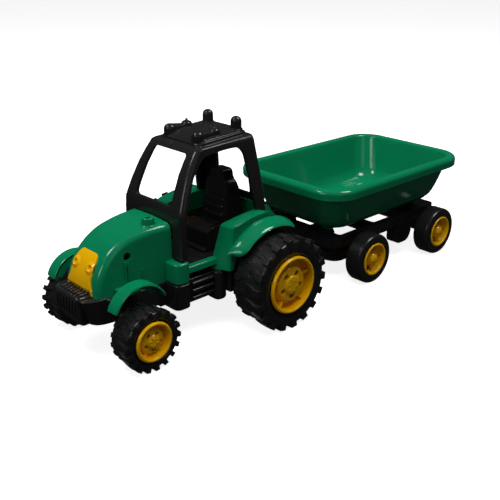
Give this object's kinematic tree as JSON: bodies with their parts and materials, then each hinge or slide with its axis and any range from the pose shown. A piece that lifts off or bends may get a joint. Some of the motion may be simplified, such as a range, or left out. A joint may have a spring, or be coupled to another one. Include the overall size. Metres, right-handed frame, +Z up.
{
  "type": "toy tractor with trailer",
  "caption": "Toy tractor with an open cab and bar-tread tyres, and a hitched trailer whose flared tub tips to the rear.",
  "frame": {"origin": "bottom centre of the whole toy's box, on the ground half way between the grille and the back rim of the tub", "axes": "+X is the driving direction, +Y the left side, +Z up"},
  "size_m": [0.5, 0.1944, 0.1955],
  "materials": {
    "green_plastic": "glossy moulded green polypropylene",
    "yellow_plastic": "glossy moulded yellow plastic",
    "black_plastic": "satin moulded black plastic",
    "tyre_plastic": "semi-matt soft black plastic tread",
    "steel": "plain drawn steel wire"
  },
  "bodies": {
    "tractor": {"chassis": "black_plastic", "body_shell": "green_plastic", "headlight_panel": "yellow_plastic", "cab_frame": "black_plastic", "roof_panel": "black_plastic", "driver_seat": "black_plastic", "body_screws": "steel"},
    "trailer": {"trailer_frame": "black_plastic", "drawbar": "black_plastic", "drawbar_screws": "steel"},
    "tub": {"trailer_tub": "green_plastic", "tub_hinge_pin": "steel"},
    "rear_wheels": {"rear_axle": "steel", "rear_tyre_left": "tyre_plastic", "rear_tyre_right": "tyre_plastic", "rear_rim_left": "yellow_plastic", "rear_rim_right": "yellow_plastic"},
    "front_wheels": {"front_axle": "steel", "front_tyre_left": "tyre_plastic", "front_tyre_right": "tyre_plastic", "front_rim_left": "yellow_plastic", "front_rim_right": "yellow_plastic"},
    "trailer_front_wheels": {"trailer_front_axle": "steel", "trailer_front_tyre_left": "tyre_plastic", "trailer_front_tyre_right": "tyre_plastic", "trailer_front_rim_left": "yellow_plastic", "trailer_front_rim_right": "yellow_plastic"},
    "trailer_rear_wheels": {"trailer_rear_axle": "steel", "trailer_rear_tyre_left": "tyre_plastic", "trailer_rear_tyre_right": "tyre_plastic", "trailer_rear_rim_left": "yellow_plastic", "trailer_rear_rim_right": "yellow_plastic"}
  },
  "joints": [
    {"name": "rear_wheels_roll", "type": "hinge", "parent": "tractor", "child": "rear_wheels", "pos_m": [0.064, 0, 0.0463], "axis": [0, 1, 0], "continuous": true},
    {"name": "front_wheels_roll", "type": "hinge", "parent": "tractor", "child": "front_wheels", "pos_m": [0.2065, 0, 0.0292], "axis": [0, 1, 0], "continuous": true},
    {"name": "trailer_front_wheels_roll", "type": "hinge", "parent": "trailer", "child": "trailer_front_wheels", "pos_m": [-0.0775, 0, 0.0274], "axis": [0, 1, 0], "continuous": true},
    {"name": "trailer_rear_wheels_roll", "type": "hinge", "parent": "trailer", "child": "trailer_rear_wheels", "pos_m": [-0.2005, 0, 0.0274], "axis": [0, 1, 0], "continuous": true},
    {"name": "hitch_turn", "type": "hinge", "parent": "tractor", "child": "trailer", "pos_m": [0.0015, 0, 0.035], "axis": [0, 0, 1], "range_deg": [-30, 30]},
    {"name": "tub_tip", "type": "hinge", "parent": "trailer", "child": "tub", "pos_m": [-0.217, 0, 0.0535], "axis": [0, -1, 0], "range_deg": [0, 45]}
  ]
}
